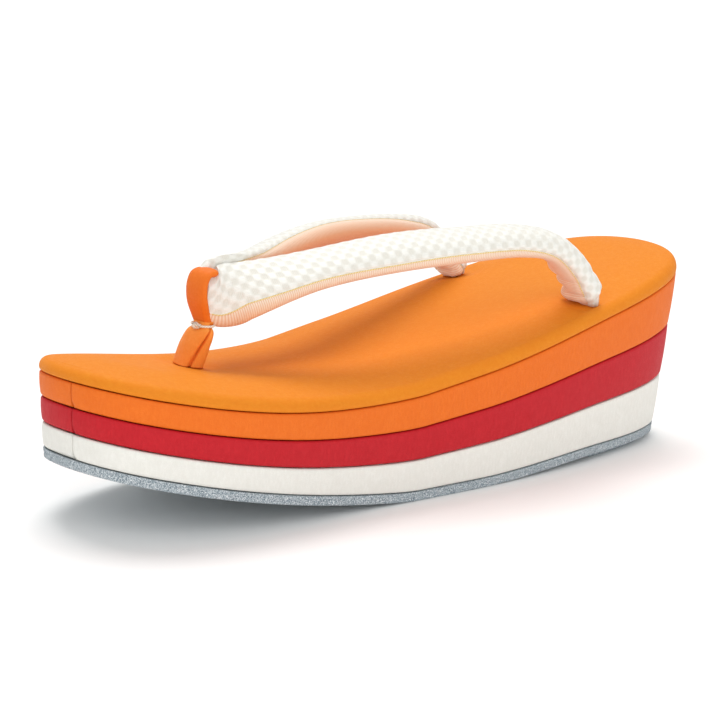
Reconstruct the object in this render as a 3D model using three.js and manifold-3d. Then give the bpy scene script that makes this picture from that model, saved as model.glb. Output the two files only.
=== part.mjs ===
// A zori sandal: three leather-wrapped wedge layers on a grey outsole and heel lift,
// a padded footbed, and a V of padded straps held at the toe by a leather thong.
// Millimetres, +Z up. The toe points to -X, the heel to +X, the floor is Z = 0.

import * as THREE from "three";
import { mergeVertices } from "three/addons/utils/BufferGeometryUtils.js";
import Module from "manifold-3d";

const wasm = await Module();
wasm.setup();

// Driving dimensions
const LENGTH = 240;
const TOE_RADIUS = 37.8;
const HEEL_RADIUS = 38.6;
const GAP = 0.3;
const OUTLINE = [
  { at: 0.08, half: 29.6 },
  { at: 0.2, half: 36.6 },
  { at: 0.35, half: 37.5 },
  { at: 0.5, half: 39.2 },
  { at: 0.65, half: 39.5 },
  { at: 0.8, half: 36.4 },
  { at: 0.92, half: 29.6 },
];

// Underside: flat under the ball, rising to the toe, and lifted at the heel by the lift
const TOE_SPRING = 18.6;
const SPRING_ENDS_AT = 0.43;
const SPRING_POWER = 1.4;
const LIFT_THICKNESS = 1.6;
const LIFT_RISE = { from: 0.53, to: 0.77 };
const LIFT_FRONT_X = 64;
const LIFT_INSET = 2.4;

// Thickness of each sheet, the wedge layers by a table from toe to heel
const OUTSOLE_THICKNESS = 3.0;
const LAYER_THICKNESS = [
  { at: 0, thick: 7.25 },
  { at: 0.25, thick: 8.15 },
  { at: 0.5, thick: 10.75 },
  { at: 0.75, thick: 13.9 },
  { at: 1, thick: 17.6 },
];
const INSOLE_RIM = 4.4;
const HEEL_RIM_RISE = { height: 1.2, from: 0.72, to: 0.98 };
const INSOLE_CROWN = 2.6;
const INSOLE_ROUND = 3.4;
const INSOLE_ROUND_STEPS = 4;
const INSOLE_TUCK = { under: 0.7, above: 0.1, rise: 0.5 };
const CROWN_POWER = 2.4;
const CROWN_REACH = 30;

// The side leans in towards the floor: millimetres in for each millimetre down
const TAPER = { side: 0.08, toe: 0.04, heel: 0.13 };

// Straps: centre line, half width, half thickness and outward roll, toe to root.
// Both run alike in plan; the left one arches a little higher than the right one.
const STRAP = [
  { x: -71.9, y: 0.9, left: 61.6, right: 61.6, half: 4.4, thick: 2.2, roll: 88 },
  { x: -67.6, y: 2.2, left: 62.9, right: 62.9, half: 8.4, thick: 3.0, roll: 82 },
  { x: -61, y: 4.8, left: 63.3, right: 63.4, half: 9.0, thick: 3.1, roll: 52 },
  { x: -40, y: 11.4, left: 67.7, right: 68.4, half: 7.8, thick: 4.4, roll: 24 },
  { x: -15, y: 17.8, left: 71.4, right: 71.1, half: 7.8, thick: 4.9, roll: 21 },
  { x: 9, y: 23.4, left: 72.7, right: 70.9, half: 7.7, thick: 4.7, roll: 19 },
  { x: 28, y: 27, left: 72.8, right: 69.5, half: 7.3, thick: 4.9, roll: 15 },
  { x: 41.7, y: 29, left: 70.1, right: 67.0, half: 6.7, thick: 4.9, roll: 10 },
  { x: 51.2, y: 30, left: 63.1, right: 61.1, half: 6.3, thick: 4.8, roll: 3 },
  { x: 59.4, y: 30, left: 52.9, right: 52.9, half: 5.9, thick: 5.2, roll: 0 },
];
const STRAP_STEPS = 40;
const STRAP_SIDES = 18;
const LINING_FULLNESS = 0.8;

// Toe thong: post centre line, leaning to the right side at its foot, with its half width
// across the sandal and its half depth along it
const POST = [
  { x: -72.4, y: 4.9, z: 41.6, across: 6.2, along: 3.2 },
  { x: -72.2, y: 4.2, z: 43.6, across: 6.5, along: 3.1 },
  { x: -72.0, y: 3.2, z: 46.5, across: 6.5, along: 3.0 },
  { x: -71.7, y: 1.8, z: 49.5, across: 6.1, along: 2.9 },
  { x: -71.5, y: 0.7, z: 51.6, across: 5.2, along: 2.7 },
  { x: -71.4, y: 0.2, z: 52.5, across: 4.2, along: 2.3 },
  { x: -71.2, y: 0, z: 53.5, across: 3.6, along: 2.0 },
  { x: -70.8, y: 0, z: 54.5, across: 3.9, along: 2.3 },
];
const POST_SIDES = 16;
const LOOP_WIDTH = 8.8;
const LOOP_WALL = 2.2;
const LOOP = [
  { x: -70.6, z: 53.9 },
  { x: -72.3, z: 57.0 },
  { x: -73.5, z: 61.2 },
  { x: -73.3, z: 65.4 },
  { x: -71.6, z: 67.8 },
  { x: -68.8, z: 68.0 },
  { x: -66.4, z: 65.4 },
  { x: -66.0, z: 60.2 },
  { x: -68.0, z: 56.0 },
];
const LOOP_NECK = { width: 0.8, rise: 6 };
const LOOP_SQUARE = { wide: 0.6, deep: 0.8 };
const LOOP_STEPS = 32;
const LOOP_SIDES = 12;
const THREAD_RADIUS = 0.55;
const THREAD_SIDES = 8;
const THREAD_STEPS = 28;

// Sampling of the plan outline and of the footbed's crown
const STATIONS = 44;
const CROWN_COLUMNS = 10;
const EDGE_ROUND = 0.9;
const EDGE_CORNER = 0.3;
const SLOPE_PROBE = 0.05;
const LIFT_LEAN = 0.8;
const WELD = 1e-4;

// Colours of the leathers and cloths
const ORANGE = 0xf08a3c;
const RED = 0xc8323a;
const WHITE = 0xf1efe9;
const GREY = 0x7b868f;

// A smooth cubic through (x, y) points with given end slopes. A slope of null is left free.
function cubicThrough(xs, ys, startSlope, endSlope) {
  const n = xs.length;
  const step = xs.slice(1).map((x, i) => x - xs[i]);
  const rise = ys.slice(1).map((y, i) => (y - ys[i]) / step[i]);
  const low = new Array(n).fill(0);
  const mid = new Array(n).fill(2);
  const high = new Array(n).fill(0);
  const right = new Array(n).fill(0);
  for (let i = 1; i < n - 1; i += 1) {
    low[i] = step[i] / (step[i - 1] + step[i]);
    high[i] = 1 - low[i];
    right[i] = 3 * (low[i] * rise[i - 1] + high[i] * rise[i]);
  }
  high[0] = startSlope === null ? 1 : 0;
  right[0] = startSlope === null ? 3 * rise[0] : 2 * startSlope;
  low[n - 1] = endSlope === null ? 1 : 0;
  right[n - 1] = endSlope === null ? 3 * rise[n - 2] : 2 * endSlope;
  for (let i = 1; i < n; i += 1) {
    const factor = low[i] / mid[i - 1];
    mid[i] -= factor * high[i - 1];
    right[i] -= factor * right[i - 1];
  }
  const slope = new Array(n);
  slope[n - 1] = right[n - 1] / mid[n - 1];
  for (let i = n - 2; i >= 0; i -= 1) {
    slope[i] = (right[i] - high[i] * slope[i + 1]) / mid[i];
  }
  const piece = (x) => {
    let i = 0;
    while (i < n - 2 && x > xs[i + 1]) {
      i += 1;
    }
    return i;
  };
  return (x) => {
    const i = piece(x);
    const h = step[i];
    const t = (x - xs[i]) / h;
    const blend = t * t * (3 - 2 * t);
    const bow = h * t * (1 - t) * ((1 - t) * slope[i] - t * slope[i + 1]);
    return ys[i] + (ys[i + 1] - ys[i]) * blend + bow;
  };
}

// The square of the half width is a smooth cubic, which gives round ends of the stated radii.
const halfSquared = cubicThrough(
  [0, ...OUTLINE.map((row) => row.at * LENGTH), LENGTH],
  [0, ...OUTLINE.map((row) => row.half ** 2), 0],
  2 * TOE_RADIUS,
  -2 * HEEL_RADIUS,
);

function halfSquaredSlope(t) {
  const ahead = Math.min(t + SLOPE_PROBE, LENGTH);
  const behind = Math.max(t - SLOPE_PROBE, 0);
  return (halfSquared(ahead) - halfSquared(behind)) / (ahead - behind);
}

const layerThickness = cubicThrough(
  LAYER_THICKNESS.map((row) => row.at),
  LAYER_THICKNESS.map((row) => row.thick),
  null,
  null,
);

const along = (x) => THREE.MathUtils.clamp(x / LENGTH + 0.5, 0, 1);

// Height of the outsole's underside at a place along the sandal.
function undersideAt(x) {
  const u = along(x);
  const rise = Math.max(SPRING_ENDS_AT - u, 0) / SPRING_ENDS_AT;
  const lift = THREE.MathUtils.smoothstep(u, LIFT_RISE.from, LIFT_RISE.to);
  return TOE_SPRING * rise ** SPRING_POWER + (LIFT_THICKNESS + GAP) * lift;
}

// Height of the top of the outsole (0) or of the first to third wedge layer (1 to 3).
function seamAt(x, layer) {
  return undersideAt(x) + OUTSOLE_THICKNESS + layer * layerThickness(along(x));
}

const rimSeamAt = (x) => seamAt(x, 3);

// One point of the plan outline with its outward direction.
function outlinePoint(index) {
  const angle = (Math.PI * index) / STATIONS;
  const t = (LENGTH * (1 - Math.cos(angle))) / 2;
  const side = index <= STATIONS ? 1 : -1;
  const half = Math.sqrt(Math.max(halfSquared(t), 0));
  const normal = new THREE.Vector2(-halfSquaredSlope(t), 2 * side * half).normalize();
  return { x: t - LENGTH / 2, y: side * half, normal };
}

const outline = Array.from({ length: 2 * STATIONS }, (_, index) => outlinePoint(index));

// A ring of the sole's side at the height given by a function of x, with an extra inset.
function sideRing(heightAt, inset) {
  return outline.map((point) => {
    const nx = point.normal.x;
    const end = nx * nx;
    const toward = nx < 0 ? TAPER.toe : TAPER.heel;
    const taper = TAPER.side + (toward - TAPER.side) * end;
    const depth = rimSeamAt(point.x) - heightAt(point.x);
    const inward = taper * Math.max(depth, 0) + inset;
    const x = point.x - nx * inward;
    const y = point.y - point.normal.y * inward;
    return new THREE.Vector3(x, y, heightAt(x));
  });
}

// A list of triangles that grows by strips between rows of points.
class Faces {
  constructor() {
    this.positions = [];
  }

  triangle(a, b, c) {
    this.positions.push(a.x, a.y, a.z, b.x, b.y, b.z, c.x, c.y, c.z);
  }

  quad(a, b, c, d) {
    this.triangle(a, b, c);
    this.triangle(a, c, d);
  }

  band(lower, upper) {
    const n = lower.length;
    for (let i = 0; i < n; i += 1) {
      const j = (i + 1) % n;
      this.quad(lower[i], lower[j], upper[j], upper[i]);
    }
  }

  fan(ring, centre, flip) {
    const n = ring.length;
    for (let i = 0; i < n; i += 1) {
      const j = (i + 1) % n;
      if (flip) {
        this.triangle(ring[j], ring[i], centre);
      } else {
        this.triangle(ring[i], ring[j], centre);
      }
    }
  }

  // Closes a mirrored outline ring by rows across the sandal, raised by a function of x and y.
  acrossCap(ring, columns, heightAt, flip) {
    const n = ring.length;
    const last = n / 2;
    const rows = [];
    for (let j = 1; j < last; j += 1) {
      const far = ring[j];
      const near = ring[n - j];
      const row = [far];
      for (let c = 1; c < columns; c += 1) {
        const middle = far.clone().lerp(near, c / columns);
        middle.z = heightAt(middle.x, middle.y);
        row.push(middle);
      }
      row.push(near);
      rows.push(row);
    }
    const put = (a, b, c) => (flip ? this.triangle(a, c, b) : this.triangle(a, b, c));
    for (let c = 0; c < columns; c += 1) {
      put(ring[0], rows[0][c + 1], rows[0][c]);
      put(ring[last], rows[rows.length - 1][c], rows[rows.length - 1][c + 1]);
    }
    for (let r = 0; r + 1 < rows.length; r += 1) {
      for (let c = 0; c < columns; c += 1) {
        put(rows[r][c], rows[r][c + 1], rows[r + 1][c + 1]);
        put(rows[r][c], rows[r + 1][c + 1], rows[r + 1][c]);
      }
    }
  }

  // The closed body, its faces turned outward.
  geometry() {
    let volume = 0;
    const p = this.positions;
    const a = new THREE.Vector3();
    const b = new THREE.Vector3();
    const c = new THREE.Vector3();
    for (let i = 0; i < p.length; i += 9) {
      a.fromArray(p, i);
      b.fromArray(p, i + 3);
      c.fromArray(p, i + 6);
      volume += a.dot(b.cross(c));
    }
    if (volume < 0) {
      for (let i = 0; i < p.length; i += 9) {
        for (let k = 0; k < 3; k += 1) {
          [p[i + 3 + k], p[i + 6 + k]] = [p[i + 6 + k], p[i + 3 + k]];
        }
      }
    }
    const soup = new THREE.BufferGeometry();
    soup.setAttribute("position", new THREE.Float32BufferAttribute(p, 3));
    return mergeVertices(soup, WELD);
  }
}

// A sheet between two height functions, its upper and lower edges softly rounded.
function sheet(lowerAt, upperAt) {
  const faces = new Faces();
  const half = GAP / 2;
  const corner = EDGE_CORNER * EDGE_ROUND;
  const rings = [
    sideRing((x) => lowerAt(x) + half, EDGE_ROUND),
    sideRing((x) => lowerAt(x) + half + corner, corner),
    sideRing((x) => lowerAt(x) + half + EDGE_ROUND, 0),
    sideRing((x) => upperAt(x) - half - EDGE_ROUND, 0),
    sideRing((x) => upperAt(x) - half - corner, corner),
    sideRing((x) => upperAt(x) - half, EDGE_ROUND),
  ];
  for (let i = 0; i + 1 < rings.length; i += 1) {
    faces.band(rings[i], rings[i + 1]);
  }
  faces.acrossCap(rings[0], 1, null, false);
  faces.acrossCap(rings[rings.length - 1], 1, null, true);
  return faces.geometry();
}

// Height of the footbed's rim above the top wedge layer, a little more round the heel.
function rimAt(x) {
  const rise = HEEL_RIM_RISE;
  return INSOLE_RIM + rise.height * THREE.MathUtils.smoothstep(along(x), rise.from, rise.to);
}

// Height of the footbed's upper face. The crown starts level at the end of the round edge and
// grows with the distance in from the outline, which the curve of the half width gives.
function footbedAt(x, y) {
  const t = x + LENGTH / 2;
  const steepness = Math.max(Math.hypot(halfSquaredSlope(t), 2 * y), GAP);
  const inside = Math.max(halfSquared(t) - y * y, 0) / steepness;
  const share = THREE.MathUtils.clamp((inside - INSOLE_ROUND) / CROWN_REACH, 0, 1);
  return rimSeamAt(x) + rimAt(x) + INSOLE_CROWN * (1 - (1 - share) ** CROWN_POWER);
}

// The padded footbed: a rim with a soft quarter round and a crowned top.
function insoleGeometry() {
  const faces = new Faces();
  const seam = (x) => rimSeamAt(x) + GAP / 2;
  const shoulder = INSOLE_RIM - INSOLE_ROUND;
  const tuck = INSOLE_TUCK;
  const rings = [sideRing(seam, tuck.under), sideRing((x) => seam(x) + tuck.rise, tuck.above)];
  for (let i = 0; i <= INSOLE_ROUND_STEPS; i += 1) {
    const angle = (Math.PI / 2) * (i / INSOLE_ROUND_STEPS);
    const share = (shoulder + INSOLE_ROUND * Math.sin(angle) - GAP / 2) / (INSOLE_RIM - GAP / 2);
    const heightAt = (x) => seam(x) + share * (rimAt(x) - GAP / 2);
    rings.push(sideRing(heightAt, INSOLE_ROUND * (1 - Math.cos(angle))));
  }
  for (let i = 0; i + 1 < rings.length; i += 1) {
    faces.band(rings[i], rings[i + 1]);
  }
  faces.acrossCap(rings[0], 1, null, false);
  faces.acrossCap(rings[rings.length - 1], CROWN_COLUMNS, footbedAt, true);
  return faces.geometry();
}

// The heel lift: a flat D-shaped sheet under the heel, its edge sloping in to the floor.
function heelLiftGeometry() {
  const faces = new Faces();
  const rear = outline.filter((point) => point.x > LIFT_FRONT_X);
  const ring = (z, inset) => {
    const back = TAPER.side * rimSeamAt(LIFT_FRONT_X) + LIFT_INSET + inset;
    const points = rear.map((point) => {
      const end = point.normal.x ** 2;
      const taper = TAPER.side + (TAPER.heel - TAPER.side) * end;
      const inward = taper * rimSeamAt(point.x) + LIFT_INSET + inset;
      return new THREE.Vector3(
        point.x - point.normal.x * inward,
        point.y - point.normal.y * inward,
        z,
      );
    });
    const corner = Math.sqrt(halfSquared(LIFT_FRONT_X + LENGTH / 2)) - back;
    points.unshift(new THREE.Vector3(LIFT_FRONT_X + inset, corner, z));
    points.push(new THREE.Vector3(LIFT_FRONT_X + inset, -corner, z));
    return points;
  };
  const low = ring(0, LIFT_LEAN);
  const high = ring(LIFT_THICKNESS, 0);
  const centre = (LENGTH / 2 + LIFT_FRONT_X) / 2;
  faces.band(low, high);
  faces.fan(low, new THREE.Vector3(centre, 0, 0), true);
  faces.fan(high, new THREE.Vector3(centre, 0, LIFT_THICKNESS), false);
  return faces.geometry();
}

// One strap as a padded tube: the white face is full, the lining under it a little flatter.
function strapGeometry(side, grow) {
  const faces = new Faces();
  const path = new THREE.CatmullRomCurve3(
    STRAP.map((row) => new THREE.Vector3(row.x, side * row.y, side < 0 ? row.left : row.right)),
    false,
    "centripetal",
  );
  const at = STRAP.map((_, i) => i / (STRAP.length - 1));
  const halfAt = cubicThrough(at, STRAP.map((row) => row.half), null, null);
  const thickAt = cubicThrough(at, STRAP.map((row) => row.thick), null, null);
  const rollAt = cubicThrough(at, STRAP.map((row) => row.roll), null, null);
  const outward = new THREE.Vector3(0, side, 0);
  const rings = [];
  for (let i = 0; i <= STRAP_STEPS; i += 1) {
    const t = i / STRAP_STEPS;
    const centre = path.getPoint(t);
    const tangent = path.getTangent(t);
    const flat = outward.clone().addScaledVector(tangent, -outward.dot(tangent)).normalize();
    const up = new THREE.Vector3().crossVectors(flat, tangent).multiplyScalar(-side);
    const roll = THREE.MathUtils.degToRad(rollAt(t));
    const wide = flat.clone().multiplyScalar(Math.cos(roll)).addScaledVector(up, -Math.sin(roll));
    const face = flat.clone().multiplyScalar(Math.sin(roll)).addScaledVector(up, Math.cos(roll));
    const ring = [];
    for (let k = 0; k < STRAP_SIDES; k += 1) {
      const angle = (2 * Math.PI * k) / STRAP_SIDES;
      const bulge = Math.sin(angle) > 0 ? 1 : LINING_FULLNESS;
      const w = (halfAt(t) + grow) * Math.cos(angle);
      const h = (thickAt(t) * bulge + grow) * Math.sin(angle);
      const point = centre.clone().addScaledVector(wide, w).addScaledVector(face, h);
      if (i === STRAP_STEPS) {
        point.z = footbedAt(point.x, point.y) + GAP;
      }
      ring.push(point);
    }
    rings.push(ring);
  }
  for (let i = 0; i < STRAP_STEPS; i += 1) {
    faces.band(rings[i], rings[i + 1]);
  }
  const middle = (ring) => ring.reduce((sum, point) => sum.add(point), new THREE.Vector3())
    .divideScalar(ring.length);
  faces.fan(rings[0], middle(rings[0]), true);
  faces.fan(rings[STRAP_STEPS], middle(rings[STRAP_STEPS]), false);
  return faces.geometry();
}

// The post of the thong, from the footbed up to its tied neck.
function postGeometry() {
  const faces = new Faces();
  const rings = POST.map((row, i) => Array.from({ length: POST_SIDES }, (_, k) => {
    const angle = (2 * Math.PI * k) / POST_SIDES;
    const point = new THREE.Vector3(
      row.x + row.along * Math.cos(angle),
      row.y + row.across * Math.sin(angle),
      row.z,
    );
    if (i === 0) {
      point.z = footbedAt(point.x, point.y) + GAP;
    }
    return point;
  }));
  for (let i = 0; i + 1 < rings.length; i += 1) {
    faces.band(rings[i], rings[i + 1]);
  }
  const foot = POST[0];
  const head = POST[POST.length - 1];
  const footHeight = footbedAt(foot.x, foot.y) + GAP;
  faces.fan(rings[0], new THREE.Vector3(foot.x, foot.y, footHeight), true);
  faces.fan(rings[rings.length - 1], new THREE.Vector3(head.x, head.y, head.z), false);
  return faces.geometry();
}

// A share with its sign kept and its size raised to a power, which squares off a section.
const squared = (share, power) => Math.sign(share) * Math.abs(share) ** power;

// The leather band that goes from the neck up the front, over the strap joint and back down.
function loopGeometry() {
  const faces = new Faces();
  const path = new THREE.CatmullRomCurve3(
    LOOP.map((row) => new THREE.Vector3(row.x, 0, row.z)),
    true,
    "centripetal",
  );
  const rings = [];
  for (let i = 0; i < LOOP_STEPS; i += 1) {
    const t = i / LOOP_STEPS;
    const centre = path.getPoint(t);
    const tangent = path.getTangent(t);
    const outwards = new THREE.Vector3(-tangent.z, 0, tangent.x);
    const neck = THREE.MathUtils.smoothstep(centre.z, LOOP[0].z, LOOP[0].z + LOOP_NECK.rise);
    const half = (LOOP_WIDTH / 2) * THREE.MathUtils.lerp(LOOP_NECK.width, 1, neck);
    const ring = [];
    for (let k = 0; k < LOOP_SIDES; k += 1) {
      const angle = (2 * Math.PI * k) / LOOP_SIDES;
      const wide = squared(Math.cos(angle), LOOP_SQUARE.wide);
      const deep = squared(Math.sin(angle), LOOP_SQUARE.deep);
      const point = centre.clone().addScaledVector(outwards, (LOOP_WALL / 2) * deep);
      point.y = half * wide;
      ring.push(point);
    }
    rings.push(ring);
  }
  for (let i = 0; i < LOOP_STEPS; i += 1) {
    faces.band(rings[i], rings[(i + 1) % LOOP_STEPS]);
  }
  return faces.geometry();
}

// Solids for the joins and cuts.
function solid(geometry) {
  const clean = geometry.clone();
  clean.deleteAttribute("normal");
  clean.deleteAttribute("uv");
  const merged = mergeVertices(clean, WELD);
  const mesh = new wasm.Mesh({
    numProp: 3,
    vertProperties: new Float32Array(merged.attributes.position.array),
    triVerts: new Uint32Array(merged.index.array),
  });
  return new wasm.Manifold(mesh);
}

function fromSolid(body) {
  const mesh = body.getMesh();
  const geometry = new THREE.BufferGeometry();
  geometry.setAttribute("position", new THREE.Float32BufferAttribute(mesh.vertProperties, 3));
  geometry.setIndex(Array.from(mesh.triVerts));
  return geometry;
}

// Both straps joined at the toe, each grown by a clearance where it cuts the thong.
function strapPair(grow) {
  return solid(strapGeometry(-1, grow)).add(solid(strapGeometry(1, grow)));
}

// The thread round the neck, drawn from a unit ring and stretched to the neck's section.
function threadRing(tube) {
  const neck = POST[POST.length - 2];
  const unit = 0.15;
  const ring = new THREE.TorusGeometry(1, unit, THREAD_SIDES, THREAD_STEPS);
  const position = ring.attributes.position;
  const point = new THREE.Vector3();
  for (let i = 0; i < position.count; i += 1) {
    point.fromBufferAttribute(position, i);
    const angle = Math.atan2(point.y, point.x);
    const reach = Math.hypot(point.x, point.y) - 1;
    const out = (reach / unit) * tube + THREAD_RADIUS + GAP;
    point.set(
      (neck.along + out) * Math.cos(angle),
      (neck.across + out) * Math.sin(angle),
      (point.z / unit) * tube,
    );
    position.setXYZ(i, neck.x + point.x, point.y, neck.z + point.z);
  }
  ring.deleteAttribute("normal");
  ring.deleteAttribute("uv");
  return mergeVertices(ring, WELD);
}

function leather(color, roughness) {
  return new THREE.MeshStandardMaterial({ color, roughness, metalness: 0 });
}

function named(name, geometry, material) {
  geometry.computeVertexNormals();
  const mesh = new THREE.Mesh(geometry, material);
  mesh.name = name;
  return mesh;
}

const straps = strapPair(0);
const thong = solid(postGeometry())
  .add(solid(loopGeometry()))
  .subtract(strapPair(GAP))
  .subtract(solid(threadRing(THREAD_RADIUS + GAP)));

const sole = new THREE.Group();
sole.add(
  named("outsole", sheet((x) => undersideAt(x) - GAP / 2, (x) => seamAt(x, 0)), leather(GREY, 0.9)),
  named("heel_lift", heelLiftGeometry(), leather(GREY, 0.9)),
  named("sole_layer_white", sheet((x) => seamAt(x, 0), (x) => seamAt(x, 1)), leather(WHITE, 0.5)),
  named("sole_layer_red", sheet((x) => seamAt(x, 1), (x) => seamAt(x, 2)), leather(RED, 0.5)),
  named("sole_layer_orange", sheet((x) => seamAt(x, 2), rimSeamAt), leather(ORANGE, 0.5)),
  named("insole", insoleGeometry(), leather(ORANGE, 0.5)),
);

const upper = new THREE.Group();
upper.add(
  named("straps", fromSolid(straps), leather(WHITE, 0.55)),
  named("toe_thong", fromSolid(thong), leather(ORANGE, 0.5)),
  named("tie_thread", threadRing(THREAD_RADIUS), leather(WHITE, 0.7)),
);

const sandal = new THREE.Group();
sandal.add(sole, upper);

export default sandal;
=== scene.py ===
"""Zori sandal: wrapped wedge layers, a padded footbed, woven padded straps and the toe thong.

The toe points to -X, the heel to +X and the floor is Z = 0. The classes hold their sizes in
millimetres, and a mesh turns them into metres when it is made.
"""
import logging
import math
from collections.abc import Callable, Sequence
from dataclasses import dataclass, field
from enum import Enum
from functools import partial

import bpy
import numpy as np
from bpy.types import Material, Node, NodeSocket, NodeTree, Object
from mathutils import Matrix


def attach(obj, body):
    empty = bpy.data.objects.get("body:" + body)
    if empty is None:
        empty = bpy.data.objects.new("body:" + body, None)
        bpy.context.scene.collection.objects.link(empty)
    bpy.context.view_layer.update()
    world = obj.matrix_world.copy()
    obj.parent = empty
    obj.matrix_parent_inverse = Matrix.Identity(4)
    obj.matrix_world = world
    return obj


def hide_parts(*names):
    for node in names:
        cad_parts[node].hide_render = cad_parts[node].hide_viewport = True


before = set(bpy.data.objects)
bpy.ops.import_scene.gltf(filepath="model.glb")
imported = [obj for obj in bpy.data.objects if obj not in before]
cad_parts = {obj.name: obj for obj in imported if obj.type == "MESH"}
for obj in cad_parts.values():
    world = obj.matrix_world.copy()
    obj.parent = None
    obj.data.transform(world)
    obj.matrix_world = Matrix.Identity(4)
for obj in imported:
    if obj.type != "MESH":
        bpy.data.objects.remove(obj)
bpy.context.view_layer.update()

LOG = logging.getLogger("zori")

MM = 0.001
BODY = "root"
PHOTO_SIDE_PX = 720
RIPPLE_PEAK = 2.08  # 1 + 1/2 + 1/3 + 1/4, where all the waves meet

Array = np.ndarray
Faces = list[tuple[int, ...]]
Table = tuple[tuple[float, ...], ...]
Height = Callable[..., Array]


class Side(Enum):
    """Side of the sandal, as the sign of Y."""

    LEFT = -1
    RIGHT = 1


# Mesh helpers


def make_mesh(
    name: str,
    points: Array,
    faces: Sequence[Sequence[int]],
    materials: Sequence[Material],
    cloth: Array | None = None,
    slots: Sequence[int] | None = None,
) -> Object:
    """Makes a smooth-shaded mesh object and links it to the scene.

    Args:
        name: Name of the object.
        points: Vertices in millimetres, one row each.
        faces: Vertex numbers of each face.
        materials: Materials in the order of their slots.
        cloth: Place of each vertex on its cloth, in millimetres, or None.
        slots: Material slot of each face, or None for the first.

    Returns:
        The new object.
    """
    mesh = bpy.data.meshes.new(name)
    mesh.from_pydata((points * MM).tolist(), [], faces)
    mesh.polygons.foreach_set("use_smooth", [True] * len(mesh.polygons))
    for material in materials:
        mesh.materials.append(material)
    if slots is not None:
        mesh.polygons.foreach_set("material_index", list(slots))
    if cloth is not None:
        corners = np.empty(len(mesh.loops), dtype=np.int32)
        mesh.loops.foreach_get("vertex_index", corners)
        layer = mesh.uv_layers.new(name="cloth")
        layer.data.foreach_set("uv", cloth[corners].astype(np.float32).ravel())
    mesh.update()
    made = bpy.data.objects.new(name, mesh)
    bpy.context.scene.collection.objects.link(made)
    return made


def band_faces(rows: int, columns: int, closed: bool = False) -> Faces:
    """Quads of a tube of rings, each ring closed on itself.

    Args:
        rows: Number of rings.
        columns: Points in a ring.
        closed: Whether the last ring joins the first.

    Returns:
        One tuple of vertex numbers for each quad.
    """
    faces = []
    for row in range(rows if closed else rows - 1):
        here, above = row * columns, (row + 1) % rows * columns
        for column in range(columns):
            beside = (column + 1) % columns
            faces.append((here + column, here + beside, above + beside, above + column))
    return faces


def tube_faces(rows: int, columns: int) -> Faces:
    """Quads of a tube of rings, and one face over each of its ends."""
    first, last = range(columns), range((rows - 1) * columns, rows * columns)
    return band_faces(rows, columns) + [tuple(reversed(first)), tuple(last)]


def fit(made: Object, slot: str, node: str | None = None) -> Object:
    """Fixes a piece to the sandal's body, and hides the solid that the piece stands for.

    Args:
        made: The piece.
        slot: The record's material slot; not used.
        node: The solid that the piece stands for, or None for a detail.

    Returns:
        The piece.
    """
    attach(made, BODY)
    if node:
        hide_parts(node)
    return made


def walk_along(line: Array) -> Array:
    """Distance of each point of a line from its first one."""
    return np.concatenate([[0.0], np.cumsum(np.linalg.norm(np.diff(line, axis=0), axis=1))])


def full_turn(count: int) -> Array:
    """Equal angles round a full turn."""
    return np.linspace(0.0, 2.0 * math.pi, count, endpoint=False)


def ease(value: Array | float, low: float, high: float) -> Array:
    """Smooth step from 0 at low to 1 at high."""
    t = np.clip((np.asarray(value, float) - low) / (high - low), 0.0, 1.0)
    return t * t * (3.0 - 2.0 * t)


def ripple(along: Array, length: float, seed: int) -> Array:
    """Slow unevenness of handwork, from -1 to 1.

    Args:
        along: Places along the work, in millimetres.
        length: Length of the longest wave, in millimetres.
        seed: Picks the phases.

    Returns:
        The unevenness at each place.
    """
    phases = np.random.default_rng(seed).uniform(0.0, 2.0 * math.pi, 4)
    total = np.zeros_like(np.asarray(along, float))
    for order, phase in enumerate(phases, start=1):
        total = total + np.sin(2.0 * math.pi * along * order**1.3 / length + phase) / order
    return total / RIPPLE_PEAK


class Cubic:
    """A smooth cubic through given values, its end slopes given or left free."""

    def __init__(
        self,
        places: Sequence[float],
        values: Sequence[float],
        start: float | None = None,
        end: float | None = None,
    ) -> None:
        """Solves the slopes.

        Args:
            places: Rising places of the values.
            values: The values to pass through.
            start: Slope at the first place, or None to leave it free.
            end: Slope at the last place, or None to leave it free.
        """
        self.places = np.asarray(places, float)
        self.values = np.asarray(values, float)
        count = len(self.places)
        step = np.diff(self.places)
        rise = np.diff(self.values) / step
        system = np.zeros((count, count))
        right = np.zeros(count)
        for i in range(1, count - 1):
            low = step[i] / (step[i - 1] + step[i])
            system[i, i - 1 : i + 2] = low, 2.0, 1.0 - low
            right[i] = 3.0 * (low * rise[i - 1] + (1.0 - low) * rise[i])
        system[0, :2] = (2.0, 1.0) if start is None else (1.0, 0.0)
        right[0] = 3.0 * rise[0] if start is None else start
        system[-1, -2:] = (1.0, 2.0) if end is None else (0.0, 1.0)
        right[-1] = 3.0 * rise[-1] if end is None else end
        self.slopes = np.linalg.solve(system, right)

    def __call__(self, at: Array | float) -> Array:
        """Works out the cubic.

        Args:
            at: Places, at or beyond the given ones.

        Returns:
            The value at each place.
        """
        at = np.asarray(at, float)
        i = np.clip(np.searchsorted(self.places, at) - 1, 0, len(self.places) - 2)
        step = self.places[i + 1] - self.places[i]
        t = (at - self.places[i]) / step
        blend = t * t * (3.0 - 2.0 * t)
        bow = step * t * (1.0 - t) * ((1.0 - t) * self.slopes[i] - t * self.slopes[i + 1])
        return self.values[i] + (self.values[i + 1] - self.values[i]) * blend + bow


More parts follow.
